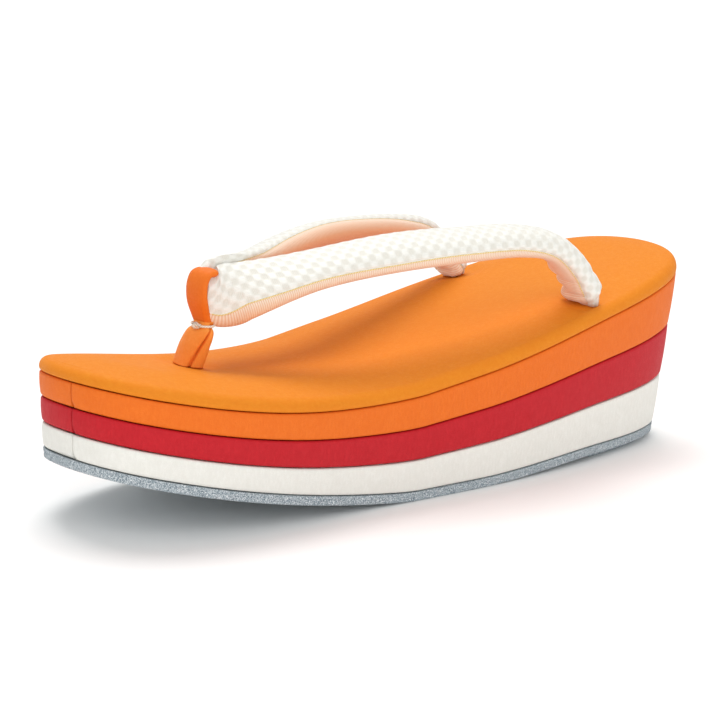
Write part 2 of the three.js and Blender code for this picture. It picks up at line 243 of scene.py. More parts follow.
class Path:
    """A smooth curve through points, open or closed, that keeps close to its chords."""

    def __init__(self, points: Sequence[Sequence[float]], closed: bool = False) -> None:
        """Keeps the points with one more before and after each stretch.

        Args:
            points: Points to pass through.
            closed: Whether the curve closes on itself.
        """
        points = np.asarray(points, float)
        self.spans = len(points) if closed else len(points) - 1
        if closed:
            self.points = np.vstack([points[-1], points, points[0], points[1]])
        else:
            before = 2.0 * points[0] - points[1]
            after = 2.0 * points[-1] - points[-2]
            self.points = np.vstack([before, points, after])

    def at(self, share: Array) -> Array:
        """Works out points, with every stretch an equal share.

        Args:
            share: Places on the curve from 0 to 1.

        Returns:
            A point for each place.
        """
        place = np.asarray(share, float) * self.spans
        i = np.clip(np.floor(place).astype(int), 0, self.spans - 1)
        t = (place - i)[:, None]
        p0, p1, p2, p3 = (self.points[i + k] for k in range(4))
        d0, d1, d2 = (
            np.sqrt(np.linalg.norm(b - a, axis=1))[:, None] for a, b in ((p0, p1), (p1, p2), (p2, p3))
        )
        leave = ((p1 - p0) / d0 - (p2 - p0) / (d0 + d1) + (p2 - p1) / d1) * d1
        reach = ((p2 - p1) / d1 - (p3 - p1) / (d1 + d2) + (p3 - p2) / d2) * d1
        square = -3.0 * p1 + 3.0 * p2 - 2.0 * leave - reach
        cube = 2.0 * p1 - 2.0 * p2 + leave + reach
        return p1 + leave * t + square * t**2 + cube * t**3

    def tangent(self, share: Array) -> Array:
        """Works out the curve's directions.

        Args:
            share: Places on the curve from 0 to 1.

        Returns:
            A unit direction for each place.
        """
        probe = 1e-4
        low = np.clip(np.asarray(share, float) - probe, 0.0, 1.0)
        high = np.clip(np.asarray(share, float) + probe, 0.0, 1.0)
        step = self.at(high) - self.at(low)
        return step / np.linalg.norm(step, axis=1)[:, None]


# Finishes


def linear(colour: str) -> tuple[float, float, float, float]:
    """Turns an sRGB hex colour into linear RGBA.

    Args:
        colour: Six hex digits after a #.

    Returns:
        Linear red, green, blue and an alpha of 1.
    """
    shares = (int(colour[i : i + 2], 16) / 255.0 for i in (1, 3, 5))
    red, green, blue = (s / 12.92 if s <= 0.04045 else ((s + 0.055) / 1.055) ** 2.4 for s in shares)
    return red, green, blue, 1.0


def add_node(
    tree: NodeTree,
    kind: str,
    inputs: dict[str | int, object] | Sequence[object] = (),
    **settings: object,
) -> Node:
    """Adds one shader node with its settings, values and links.

    Args:
        tree: Node tree that gets the node.
        kind: Blender's name of the node type, without its prefix.
        inputs: A value, socket or node for each input, in their order or by name.
        settings: Properties to set on the node.

    Returns:
        The new node.
    """
    made = tree.nodes.new("ShaderNode" + kind)
    for name, value in settings.items():
        setattr(made, name, value)
    for name, value in inputs.items() if isinstance(inputs, dict) else enumerate(inputs):
        if isinstance(value, Node):
            value = next(output for output in value.outputs if output.enabled)
        if isinstance(value, NodeSocket):
            tree.links.new(value, made.inputs[name])
        else:
            made.inputs[name].default_value = value
    return made


def place_in_mm(tree: NodeTree, size_mm: Sequence[float]) -> Node:
    """Adds coordinates in the piece's own space.

    Args:
        tree: Node tree of the material.
        size_mm: Millimetres over which each coordinate grows by 1.

    Returns:
        The mapping node.
    """
    place = add_node(tree, "TexCoord").outputs["Object"]
    scale = tuple(1.0 / (size * MM) for size in size_mm)
    return add_node(tree, "Mapping", {"Vector": place, "Scale": scale})


def cloth_axes(tree: NodeTree) -> tuple[NodeSocket, NodeSocket]:
    """Distances along and across the cloth, in millimetres."""
    axes = add_node(tree, "SeparateXYZ", (add_node(tree, "UVMap", uv_map="cloth"),)).outputs
    return axes[0], axes[1]


def wave(tree: NodeTree, place: object, length_mm: float) -> Node:
    """A wave from -1 to 1 over each stretch of the given length."""
    turn = add_node(tree, "Math", (place, 2.0 * math.pi / length_mm), operation="MULTIPLY")
    return add_node(tree, "Math", (turn,), operation="SINE")


@dataclass(frozen=True)
class Finish:
    """What every finish has: a name, a colour, a darker one for its hollows and a relief; in the woven
    cloth and the lining that darker colour is painted shade.
    """

    name: str
    colour: str
    hollow: str
    depth_mm: float = 0.06
    strength: float = 1.0

    def paint(self, tree: NodeTree) -> tuple[Node, dict[str, object]]:
        """Adds the finish's own nodes.

        Args:
            tree: Node tree that gets them.

        Returns:
            The height for the bump, and the inputs of the surface shader.
        """
        raise NotImplementedError

    def build(self) -> Material:
        """Builds the material with its bump.

        Returns:
            The material.
        """
        material = bpy.data.materials.new(self.name)
        material.use_nodes = True
        tree = material.node_tree
        tree.nodes.clear()
        height, look = self.paint(tree)
        relief = {"Height": height, "Strength": self.strength, "Distance": self.depth_mm * MM}
        look["Normal"] = add_node(tree, "Bump", relief)
        add_node(tree, "OutputMaterial", {"Surface": add_node(tree, "BsdfPrincipled", look)})
        return material


@dataclass(frozen=True)
class Leather(Finish):
    """Smooth leather, drum dyed and pigment finished over a pressed grain."""

    grain_mm: tuple[float, float, float] = (0.9, 0.9, 0.9)
    roughness: float = 0.55
    shine: float = 0.22
    coat: float = 0.03
    mottle: float = 0.15
    mottle_mm: float = 22.0

    def paint(self, tree: NodeTree) -> tuple[Node, dict[str, object]]:
        """Adds rounded pebbles, darker in the hollows, that break up a satin gloss.

        Args:
            tree: Node tree of the material.

        Returns:
            The height for the bump, and the inputs of the surface shader.
        """
        grain = place_in_mm(tree, self.grain_mm)
        pebbles = add_node(tree, "TexVoronoi", {"Vector": grain, "Smoothness": 0.7}, feature="SMOOTH_F1")
        creases = add_node(tree, "TexNoise", {"Vector": grain, "Scale": 0.7, "Detail": 3.0})
        height = add_node(tree, "Math", (creases, 1.3, pebbles), operation="MULTIPLY_ADD")
        broad = place_in_mm(tree, (self.mottle_mm,) * 3)
        tone = add_node(tree, "TexNoise", {"Vector": broad, "Detail": 2.0})
        low = add_node(tree, "MapRange", (height, 0.45, 1.3, 0.0, 0.5))
        shade = add_node(tree, "MapRange", (tone, 0.3, 0.7, 0.0, self.mottle))
        dark = linear(self.hollow)
        dye = add_node(tree, "Mix", {0: low, 6: linear(self.colour), 7: dark}, data_type="RGBA")
        worn = (self.roughness - 0.05, self.roughness + 0.12)
        return height, {
            "Base Color": add_node(tree, "Mix", {0: shade, 6: dye, 7: dark}, data_type="RGBA"),
            "Roughness": add_node(tree, "MapRange", (height, 0.4, 1.4, *worn)),
            "IOR": 1.5,
            "Specular IOR Level": self.shine,
            "Coat Weight": self.coat,
            "Coat Roughness": 0.4,
        }


@dataclass(frozen=True)
class FeltRubber(Finish):
    """Crumb rubber sheet bonded with felt fibre and die cut, its cut edge left rough."""

    name: str = "die_cut_felt_rubber"
    colour: str = "#98a5ad"
    hollow: str = "#4a5660"
    depth_mm: float = 0.2
    fibre: str = "#eef1f1"
    crumb_mm: float = 1.7  # real crumb is half as wide, too fine to show here

    def paint(self, tree: NodeTree) -> tuple[Node, dict[str, object]]:
        """Adds speckles of pale fibre and dark crumb, fully matt.

        Args:
            tree: Node tree of the material.

        Returns:
            The height for the bump, and the inputs of the surface shader.
        """
        crumb = place_in_mm(tree, (self.crumb_mm,) * 3)
        grit = add_node(tree, "TexNoise", {"Vector": crumb, "Detail": 4.0, "Roughness": 0.7})
        fleck = add_node(tree, "TexVoronoi", {"Vector": crumb, "Scale": 0.8})
        pale = add_node(tree, "MapRange", (grit, 0.5, 0.6, 0.0, 0.85))
        dark = add_node(tree, "MapRange", (grit, 0.48, 0.38, 0.0, 0.8))
        dyes_and_painted_light = {0: pale, 6: linear(self.colour), 7: linear(self.fibre)}
        pits = {0: dark, 6: add_node(tree, "Mix", dyes_and_painted_light, data_type="RGBA"), 7: linear(self.hollow)}
        return add_node(tree, "Math", (grit, 1.2, fleck), operation="MULTIPLY_ADD"), {
            "Base Color": add_node(tree, "Mix", pits, data_type="RGBA"),
            "Roughness": 0.92,
            "IOR": 1.52,
            "Specular IOR Level": 0.25,
        }


@dataclass(frozen=True)
class WovenCloth(Finish):
    """Silk and rayon cloth in a raised check weave, the floats of alternate squares standing up."""

    name: str = "check_woven_silk"
    colour: str = "#ecebe4"
    # hollow: painted shade between the raised squares, the cloth itself being one white
    hollow: str = "#dfdcd2"
    depth_mm: float = 0.12
    check_mm: float = 2.15
    thread_mm: float = 0.5  # real threads are half as wide, too fine to show here

    def paint(self, tree: NodeTree) -> tuple[Node, dict[str, object]]:
        """Adds glossy squares along the strap between matt ones across it, the matt ones greyer: painted
        shade in the weave's hollows.

        Args:
            tree: Node tree of the material.

        Returns:
            The height for the bump, and the inputs of the surface shader.
        """
        along, across = cloth_axes(tree)
        waves = tuple(wave(tree, axis, 2.0 * self.check_mm) for axis in (along, across))
        check = add_node(tree, "Math", waves, operation="MULTIPLY")
        square = add_node(tree, "MapRange", (check, -0.45, 0.45, 0.0, 1.0))
        between = add_node(tree, "Math", (1.0, square), operation="SUBTRACT")
        warp, weft = (
            add_node(tree, "Math", (wave(tree, axis, self.thread_mm), share), operation="MULTIPLY")
            for axis, share in ((across, square), (along, between))
        )
        threads = add_node(tree, "Math", (warp, weft), operation="ADD")
        # Painted shade: between the raised squares the colour turns greyer
        dyes_and_painted_light = {0: square, 6: linear(self.hollow), 7: linear(self.colour)}
        return add_node(tree, "Math", (threads, 0.22, square), operation="MULTIPLY_ADD"), {
            "Base Color": add_node(tree, "Mix", dyes_and_painted_light, data_type="RGBA"),
            "Roughness": add_node(tree, "MapRange", (square, 0.0, 1.0, 0.62, 0.36)),
            "IOR": 1.54,
            "Sheen Weight": 0.25,
            "Sheen Roughness": 0.4,
        }


@dataclass(frozen=True)
class RibbedLining(Finish):
    """Brushed cotton lining, woven with fine ribs across the strap, its nap catching the light."""

    name: str = "ribbed_cotton_lining"
    colour: str = "#f4e2cf"
    # hollow: painted shade in the valleys between the ribs
    hollow: str = "#dc9a66"
    # deep: the apricot away from the seams, a painted reflection of the orange footbed
    deep: str = "#efb58a"
    bounce_fade_mm: tuple[float, float] = (0.8, 5.0)
    rib_mm: float = 0.62
    nap_mm: float = 0.5

    def paint(self, tree: NodeTree) -> tuple[Node, dict[str, object]]:
        """Adds ribs across the strap, cream by the seams and apricot away from them.

        Args:
            tree: Node tree of the material.

        Returns:
            Adds ribs across the strap with painted shade in their valleys, cream by the seams and apricot
            away from them: a painted reflection of the orange footbed.
        """
        along, from_seam = cloth_axes(tree)
        share = add_node(tree, "MapRange", (wave(tree, along, self.rib_mm), -1.0, 1.0, 0.0, 1.0))
        nap = add_node(tree, "TexNoise", {"Vector": place_in_mm(tree, (self.nap_mm,) * 3), "Detail": 3.0})
        # Painted reflection: cream by the seams turning apricot away from them, as if lit by the orange
        # footbed
        away = add_node(tree, "MapRange", (from_seam, *self.bounce_fade_mm, 0.0, 1.0))
        dyes_and_painted_light = {0: away, 6: linear(self.colour), 7: linear(self.deep)}
        ridge = add_node(tree, "Mix", dyes_and_painted_light, data_type="RGBA")
        low = add_node(tree, "Math", (1.0, share), operation="SUBTRACT")
        # Painted shade in the valleys between the ribs
        painted_valley_shade = add_node(tree, "Math", (low, 0.6), operation="MULTIPLY")
        dyes_and_painted_light = {0: painted_valley_shade, 6: ridge, 7: linear(self.hollow)}
        return add_node(tree, "Math", (nap, 0.8, share), operation="MULTIPLY_ADD"), {
            "Base Color": add_node(tree, "Mix", dyes_and_painted_light, data_type="RGBA"),
            "Roughness": 0.85,
            "IOR": 1.47,
            "Specular IOR Level": 0.3,
            "Sheen Weight": 0.4,
            "Sheen Roughness": 0.5,
        }


@dataclass(frozen=True)
class TwistedThread(Finish):
    """Twisted thread, its plies drawn as slanting ridges."""

    depth_mm: float = 0.08
    roughness: float = 0.6
    ply_mm: float = 0.7

    def paint(self, tree: NodeTree) -> tuple[Node, dict[str, object]]:
        """Adds slanting plies in colour and bump, dull between them.

        Args:
            tree: Node tree of the material.

        Returns:
            The height for the bump, and the inputs of the surface shader.
        """
        slant = add_node(tree, "Math", cloth_axes(tree), operation="ADD")
        share = add_node(tree, "MapRange", (wave(tree, slant, self.ply_mm), -1.0, 1.0, 0.0, 1.0))
        dyes_and_painted_light = {0: share, 6: linear(self.hollow), 7: linear(self.colour)}
        return share, {
            "Base Color": add_node(tree, "Mix", dyes_and_painted_light, data_type="RGBA"),
            "Roughness": self.roughness,
            "IOR": 1.53,
            "Sheen Weight": 0.2,
        }


@dataclass(frozen=True)
class StudioPaper(Finish):
    """Matt white paper sweep under the sandal."""

    name: str = "matt_studio_paper"
    colour: str = "#f4f4f3"
    hollow: str = "#f4f4f3"
    depth_mm: float = 0.05
    strength: float = 0.1
    fibre_mm: float = 2.0

    def paint(self, tree: NodeTree) -> tuple[Node, dict[str, object]]:
        """Adds a faint fibre to a nearly white face without gloss.

        Args:
            tree: Node tree of the material.

        Returns:
            The height for the bump, and the inputs of the surface shader.
        """
        fibre = add_node(tree, "TexNoise", {"Vector": place_in_mm(tree, (self.fibre_mm,) * 3)})
        return fibre, {"Base Color": linear(self.colour), "Roughness": 0.95, "Specular IOR Level": 0.1}


# The form of the sole


@dataclass(frozen=True)
class PlanRing:
    """Stations round the plan outline, from the toe along the right side and back."""

    x: Array
    y: Array
    normal_x: Array
    normal_y: Array

    def walk(self) -> Array:
        """Measures the stations' distances from the toe tip.

        Returns:
            The distances, negative on the left side.
        """
        steps = np.hypot(np.diff(self.x), np.diff(self.y))
        total = np.concatenate([[0.0], np.cumsum(steps)])
        whole = total[-1] + math.hypot(self.x[0] - self.x[-1], self.y[0] - self.y[-1])
        return np.where(total > whole / 2.0, total - whole, total)


@dataclass(frozen=True)
class Last:
    """The sandal's form: plan outline, underside, wedge layers and footbed."""

    length: float = 240.0
    toe_radius: float = 37.8
    heel_radius: float = 38.6
    gap: float = 0.3
    # Share of the length, and the half width there
    outline: Table = (
        (0.08, 29.6), (0.2, 36.6), (0.35, 37.5), (0.5, 39.2), (0.65, 39.5), (0.8, 36.4), (0.92, 29.6)
    )
    toe_spring: float = 18.6
    spring_ends_at: float = 0.43
    spring_power: float = 1.4
    lift_thickness: float = 1.6
    lift_rise: tuple[float, float] = (0.53, 0.77)
    outsole_thickness: float = 3.0
    # Share of the length, and the thickness of one wedge layer there
    layers: Table = ((0.0, 7.25), (0.25, 8.15), (0.5, 10.75), (0.75, 13.9), (1.0, 17.6))
    rim: float = 4.4
    roundness: float = 3.4
    crown: float = 2.6
    crown_power: float = 2.4
    crown_reach: float = 30.0
    heel_rim_rise: tuple[float, float, float] = (1.2, 0.72, 0.98)
    taper_side: float = 0.08
    taper_toe: float = 0.04
    taper_heel: float = 0.13
    probe: float = 0.05
    half_squared: Cubic = field(init=False)
    layer_thickness: Cubic = field(init=False)

    def __post_init__(self) -> None:
        """Works out the curves of the outline and of the layers."""
        at = [0.0, *(row[0] * self.length for row in self.outline), self.length]
        half = [0.0, *(row[1] ** 2 for row in self.outline), 0.0]
        curve = Cubic(at, half, 2.0 * self.toe_radius, -2.0 * self.heel_radius)
        object.__setattr__(self, "half_squared", curve)
        object.__setattr__(self, "layer_thickness", Cubic(*zip(*self.layers)))

    def share(self, x: Array) -> Array:
        """Place along the sandal, 0 at the toe and 1 at the heel."""
        return np.clip(np.asarray(x, float) / self.length + 0.5, 0.0, 1.0)

    def half(self, x: Array) -> Array:
        """Half width of the plan outline."""
        return np.sqrt(np.maximum(self.half_squared(np.asarray(x) + self.length / 2.0), 0.0))

    def underside(self, x: Array) -> Array:
        """Height of the outsole's underside.

        Args:
            x: Places along the sandal.

        Returns:
            The heights.
        """
        u = self.share(x)
        rise = np.maximum(self.spring_ends_at - u, 0.0) / self.spring_ends_at
        lift = (self.lift_thickness + self.gap) * ease(u, *self.lift_rise)
        return self.toe_spring * rise**self.spring_power + lift

    def seam(self, x: Array, layer: int) -> Array:
        """Height of the top of the outsole (0) or of a wedge layer (1 to 3)."""
        return self.underside(x) + self.outsole_thickness + layer * self.layer_thickness(self.share(x))

    def footbed(self, x: Array, y: Array) -> Array:
        """Height of the footbed's upper face, its crown going on from the round edge.

        Args:
            x: Places along the sandal.
            y: Places across it.

        Returns:
            The heights.
        """
        t = np.asarray(x, float) + self.length / 2.0
        steepness = np.maximum(np.hypot(self.slope(t), 2.0 * y), self.gap)
        inside = np.maximum(self.half_squared(t) - y**2, 0.0) / steepness
        inset, drop = self.edge_end()
        share = np.clip((inside - inset) / self.crown_reach, 0.0, 1.0)
        crown = self.crown * (1.0 - (1.0 - share) ** self.crown_power)
        return self.seam(x, 3) + self.rim_at(x) - drop + crown

    def rim_at(self, x: Array) -> Array:
        """Height of the footbed's rim, a little more round the heel."""
        rise, start, end = self.heel_rim_rise
        return self.rim + rise * ease(self.share(x), start, end)

    def edge_end(self) -> tuple[float, float]:
        """Inset and drop where the round edge has come down to the crown's slope."""
        angle = math.atan(self.crown * self.crown_power / self.crown_reach)
        return self.roundness * (1.0 - math.sin(angle)), self.roundness * (1.0 - math.cos(angle))

    def slope(self, t: Array) -> Array:
        """Change of the squared half width along the sandal.

        Args:
            t: Distances from the toe.

        Returns:
            The slopes.
        """
        high = np.minimum(t + self.probe, self.length)
        low = np.maximum(t - self.probe, 0.0)
        return (self.half_squared(high) - self.half_squared(low)) / (high - low)

    def ring(self, stations: int, extra: Sequence[float] = ()) -> PlanRing:
        """Stations round the outline, alike on both sides.

        Args:
            stations: Number of equal angles on one side.
            extra: More angles from the toe, in radians, for a fine detail.

        Returns:
            The ring.
        """
        even = np.linspace(0.0, math.pi, stations + 1)
        if len(extra):
            clear = np.min(np.abs(even[:, None] - np.asarray(extra)[None, :]), axis=1) > 1e-3
            even = np.sort(np.concatenate([even[clear | (even == 0.0)], extra]))
        angles = np.concatenate([even, -even[-2:0:-1]])
        t = self.length * (1.0 - np.cos(angles)) / 2.0
        half = np.sqrt(np.maximum(self.half_squared(t), 0.0))
        side = np.where(angles < 0.0, -1.0, 1.0)
        normal = np.stack([-self.slope(t), 2.0 * side * half], axis=1)
        normal /= np.linalg.norm(normal, axis=1)[:, None]
        return PlanRing(t - self.length / 2.0, side * half, normal[:, 0], normal[:, 1])

    def side(self, ring: PlanRing, height: Height, inset: Array | float) -> Array:
        """A ring of the sole's side, leaning in towards the floor.

        Args:
            ring: Plan stations.
            height: Height of the ring at a place along the sandal.
            inset: Millimetres in from the side's surface.

        Returns:
            One point for each station.
        """
        end = ring.normal_x**2
        toward = np.where(ring.normal_x < 0.0, self.taper_toe, self.taper_heel)
        taper = self.taper_side + (toward - self.taper_side) * end
        depth = np.maximum(self.seam(ring.x, 3) - height(ring.x), 0.0)
        inward = taper * depth + inset
        x = ring.x - ring.normal_x * inward
        y = ring.y - ring.normal_y * inward
        return np.stack([x, y, height(x)], axis=1)


class Shell:
    """Points and faces of a sheet that grows by rings from its lower face to its upper one."""

    def __init__(self, rings: Sequence[Array], columns: int = 2, height: Height | None = None) -> None:
        """Joins the rings by bands and closes both faces.

        Args:
            rings: Rings with equal numbers of points, from below to above.
            columns: Steps across the upper face.
            height: Height of the upper face at a place, or None for straight rows.
        """
        self.columns = len(rings[0])
        self.points = np.vstack(rings)
        self.faces = [face[::-1] for face in band_faces(len(rings), self.columns)]
        self.faces += self.cap(0, 2)
        upper = self.cap((len(rings) - 1) * self.columns, columns, height)
        self.faces += [face[::-1] for face in upper]

    def cap(self, first: int, columns: int, height: Height | None = None) -> Faces:
        """Adds points in rows across one face, and joins them.

        Args:
            first: Number of the first point of the face's ring.
            columns: Steps across.
            height: Height of the face at a place, or None for straight rows.

        Returns:
            The faces, as they are wound on the lower side.
        """
        last = self.columns // 2
        shares = np.linspace(0.0, 1.0, columns + 1)[1:-1]
        rows = []
        for station in range(1, last):
            far, near = first + station, first + self.columns - station
            start = len(self.points)
            middle = self.points[far] + (self.points[near] - self.points[far]) * shares[:, None]
            if height is not None:
                middle[:, 2] = height(middle[:, 0], middle[:, 1])
            self.points = np.vstack([self.points, middle])
            rows.append([far, *range(start, start + len(shares)), near])
        steps = range(columns)
        faces = [(first, rows[0][c], rows[0][c + 1]) for c in steps]
        for row, after in zip(rows, rows[1:]):
            faces += [(row[c], after[c], after[c + 1], row[c + 1]) for c in steps]
        return faces + [(first + last, rows[-1][c + 1], rows[-1][c]) for c in steps]


def round_over(edge: Array, radius: float) -> Array:
    """Inset of a rounded edge at a distance from that edge."""
    away = np.clip(radius - edge, 0.0, radius)
    return radius - np.sqrt(np.maximum(radius**2 - away**2, 0.0))


@dataclass
class WrappedLayer:
    """One wedge layer: cork board wrapped in a leather strip whose ends overlap by the toe."""

    last: Last
    level: int
    finish: Material
    node: str
    slot: str
    stations: int = 220
    edge_radius: float = 0.75
    pillow: float = 0.22
    set_in: float = 0.066
    unevenness: float = 0.07
    wave: float = 34.0
    wave_shift: float = 7.0
    joint_from_tip: float = -3.9
    joint_step: float = 0.75
    joint_fade: float = 16.0
    joint_crack: float = 0.7
    joint_stations: tuple[float, ...] = (
        -2.2, -1.4, -1.0, -0.76, -0.69, -0.35, -0.02, 0.05, 0.15, 0.35, 0.65, 1.1, 1.7, 2.4
    )
    crack_depth: float = 2.2
    corner_radius: float = 2.4
    corner_gap: float = 0.25
    edge_rows: tuple[float, ...] = (0.0, 0.05, 0.15, 0.32, 0.6, 1.0, 1.5, 2.1)
    middle_rows: int = 5

    def joint_angles(self) -> list[float]:
        """Angles from the toe that give stations close to the joint on both sides of it.

        Returns:
            The angles in radians.
        """
        reach = [abs(self.joint_from_tip) + step for step in self.joint_stations]
        sagitta = [walk**2 / (2.0 * self.last.toe_radius) for walk in reach]
        return [math.acos(1.0 - 2.0 * depth / self.last.length) for depth in sagitta]

    def inset(self, walk: Array, below: Array, above: Array) -> Array:
        """How far the leather lies in from the layer's side.

        Args:
            walk: Distance of each station from the toe tip.
            below: Distance of the row from the lower edge.
            above: Distance of the row from the upper edge.

        Returns:
            The inset of each station.
        """
        past = self.joint_from_tip - walk
        edge = np.minimum(below, above)
        radius = self.corner_radius
        on_top = past >= 0.0
        corner = radius - np.hypot(np.maximum(radius - past, 0.0), np.maximum(radius - below, 0.0))
        in_corner = on_top & (past < radius) & (below < radius)
        top_edge = np.where(in_corner, corner, np.where(on_top, np.minimum(edge, past), edge))
        inset = round_over(np.maximum(top_edge, 0.0), self.edge_radius)
        inset = np.where(in_corner & (corner < 0.0), self.edge_radius + self.corner_gap, inset)
        under = self.joint_step * np.exp(-((past / self.joint_fade) ** 2))
        inset = np.where(on_top, inset, inset + under)
        crack = (past < 0.0) & (past > -self.joint_crack)
        inset = np.where(crack, self.crack_depth, inset)
        belly = self.pillow * (1.0 - (2.0 * below / (below + above) - 1.0) ** 2)
        uneven = self.unevenness * ripple(walk + self.wave_shift * self.level, self.wave, self.level)
        return inset - np.where(crack, 0.0, belly + uneven) + self.set_in

    def height(self, x: Array, share: float, rise: float = 0.0) -> Array:
        """Height of a row, at a share of the thickness and moved up by a rise.

        Args:
            x: Places along the sandal.
            share: Share of the layer's thickness, 0 at its lower edge.
            rise: Millimetres above that.

        Returns:
            The heights.
        """
        low = self.last.seam(x, self.level - 1) + self.last.gap / 2.0
        high = self.last.seam(x, self.level) - self.last.gap / 2.0
        return low * (1.0 - share) + high * share + rise

    def build(self) -> Object:
        """Builds the wrapped layer and puts it in place of its solid.

        Returns:
            The layer.
        """
        ring = self.last.ring(self.stations, self.joint_angles())
        walk = ring.walk()
        margin = self.edge_rows[-1]
        rows = [(0.0, row) for row in self.edge_rows]
        for share in np.linspace(0.0, 1.0, self.middle_rows + 2)[1:-1]:
            rows.append((share, margin * (1.0 - 2.0 * share)))
        rows += [(1.0, -row) for row in reversed(self.edge_rows)]
        rings = []
        for share, rise in rows:
            at = partial(self.height, share=share, rise=rise)
            below = at(ring.x) - self.height(ring.x, 0.0)
            above = self.height(ring.x, 1.0) - at(ring.x)
            rings.append(self.last.side(ring, at, self.inset(walk, below, above)))
        shell = Shell(rings)
        made = make_mesh(self.node + "_wrap", shell.points, shell.faces, [self.finish])
        return fit(made, self.slot, self.node)


@dataclass
class Footbed:
    """The padded footbed: leather over foam, its edge turned under, dented where the straps enter."""

    last: Last
    finish: Material
    roots: Sequence[tuple[float, ...]]
    stations: int = 200
    columns: int = 44
    round_steps: int = 12
    # Height above the layer below, and the inset there
    turned_edge: Table = ((0.0, 0.9), (0.04, 0.45), (0.16, 0.225), (0.4, 0.06))
    unevenness: float = 0.06
    wave: float = 46.0
    seed: int = 5
    dent: float = 0.9
    dent_reach: float = 3.2

    def height(self, x: Array, y: Array) -> Array:
        """Height of the upper face with its dents.

        Args:
            x: Places along the sandal.
            y: Places across it.

        Returns:
            The heights.
        """
        total = self.last.footbed(x, y)
        for cx, cy, rx, ry in self.roots:
            away = np.hypot((x - cx) / rx, (y - cy) / ry) - 1.0
            distance = np.maximum(away, 0.0) * min(rx, ry)
            total = total - self.dent * np.exp(-((distance / self.dent_reach) ** 2))
        return total

    def build(self) -> Object:
        """Builds the footbed in place of the insole's solid.

        Returns:
            The footbed.
        """
        last = self.last
        ring = last.ring(self.stations)
        base = last.gap / 2.0
        rings = []
        for rise, inset in self.turned_edge:
            rings.append(last.side(ring, lambda x, rise=rise: last.seam(x, 3) + base + rise, inset))
        end_angle = math.acos(1.0 - last.edge_end()[0] / last.roundness)
        uneven = self.unevenness * ripple(ring.walk(), self.wave, self.seed)
        for step in range(self.round_steps + 1):
            angle = end_angle * step / self.round_steps
            share = (last.rim - last.roundness + last.roundness * math.sin(angle)) / last.rim
            inset = last.roundness * (1.0 - math.cos(angle)) - uneven * math.cos(angle)
            rings.append(
                last.side(ring, lambda x, share=share: last.seam(x, 3) + share * last.rim_at(x), inset)
            )
        shell = Shell(rings, self.columns, self.height)
        made = make_mesh("footbed_pad", shell.points, shell.faces, [self.finish])
        fit(made, "footbed_leather", "insole")
        return made


@dataclass
class Outsole:
    """The grey sheet under the whole sole, its die-cut edge a little rough."""

    last: Last
    finish: Material
    stations: int = 300
    roughness: float = 0.09
    seed: int = 11
    # Height above the underside, and the inset there
    rows: Table = (
        (0.0, 0.45), (0.12, 0.15), (0.4, 0.02), (1.1, 0.1), (1.9, 0.06), (2.5, 0.0), (2.78, 0.12),
        (2.85, 0.5),
    )

    def build(self) -> Object:
        """Builds the outsole in place of its solid.

        Returns:
            The outsole.
        """
        last = self.last
        ring = last.ring(self.stations)
        random = np.random.default_rng(self.seed)
        rings = []
        for rise, inset in self.rows:
            rough = self.roughness * random.uniform(-1.0, 1.0, len(ring.x))
            rings.append(last.side(ring, lambda x, rise=rise: last.underside(x) + rise, inset + rough))
        shell = Shell(rings)
        shell.points[:, 2] = np.maximum(shell.points[:, 2], 0.0)
        made = make_mesh("outsole_sheet", shell.points, shell.faces, [self.finish])
        return fit(made, "outsole_felt", "outsole")


@dataclass
class HeelLift:
    """The second grey sheet under the heel, set in from the edge."""

    last: Last
    finish: Material
    front_x: float = 64.0
    front_steps: int = 24
    inset: float = 2.4
    stations: int = 300
    roughness: float = 0.08
    seed: int = 12
    rows: Table = ((0.0, 0.9), (0.06, 0.75), (0.5, 0.5), (1.1, 0.25), (1.5, 0.05), (1.6, 0.2))

    def outline(self, ring: PlanRing, inset: float) -> Array:
        """Plan of the lift at one height.

        Args:
            ring: Stations of the sole's outline.
            inset: Millimetres in from the lift's own outline.

        Returns:
            The plan's points, closed by its straight front edge.
        """
        last = self.last
        rear = np.flatnonzero(ring.x > self.front_x)
        back_again = 2.0 * last.length - ring.x[rear]
        rear = rear[np.argsort(np.where(ring.y[rear] >= 0.0, ring.x[rear], back_again))]
        x, y, nx, ny = ring.x[rear], ring.y[rear], ring.normal_x[rear], ring.normal_y[rear]
        taper = last.taper_side + (last.taper_heel - last.taper_side) * nx**2
        inward = taper * last.seam(x, 3) + self.inset + inset
        back = last.taper_side * float(last.seam(self.front_x, 3)) + self.inset + inset
        corner = float(last.half(self.front_x)) - back
        front_x = self.front_x + inset
        shares = np.linspace(1.0, 0.0, self.front_steps + 1)[:-1]
        front = [(front_x, corner * (1.0 - 2.0 * share)) for share in shares]
        side = np.stack([x - nx * inward, y - ny * inward], axis=1)
        return np.vstack([(front_x, corner), side, front])

    def build(self) -> Object:
        """Builds the lift in place of its solid.

        Returns:
            The lift.
        """
        ring = self.last.ring(self.stations)
        random = np.random.default_rng(self.seed)
        rings = []
        for rise, inset in self.rows:
            plan = self.outline(ring, inset)
            plan = plan + self.roughness * random.uniform(-1.0, 1.0, plan.shape)
            rings.append(np.column_stack([plan, np.full(len(plan), rise)]))
        faces = tube_faces(len(rings), len(rings[0]))
        made = make_mesh("heel_lift_sheet", np.vstack(rings), faces, [self.finish])
        return fit(made, "outsole_felt", "heel_lift")


# The upper


@dataclass(frozen=True)
class StrapRow:
    """One section of both straps, from the toe end to the root; the left strap arches higher."""

    x: float
    y: float
    left: float
    right: float
    half: float
    thick: float
    roll: float


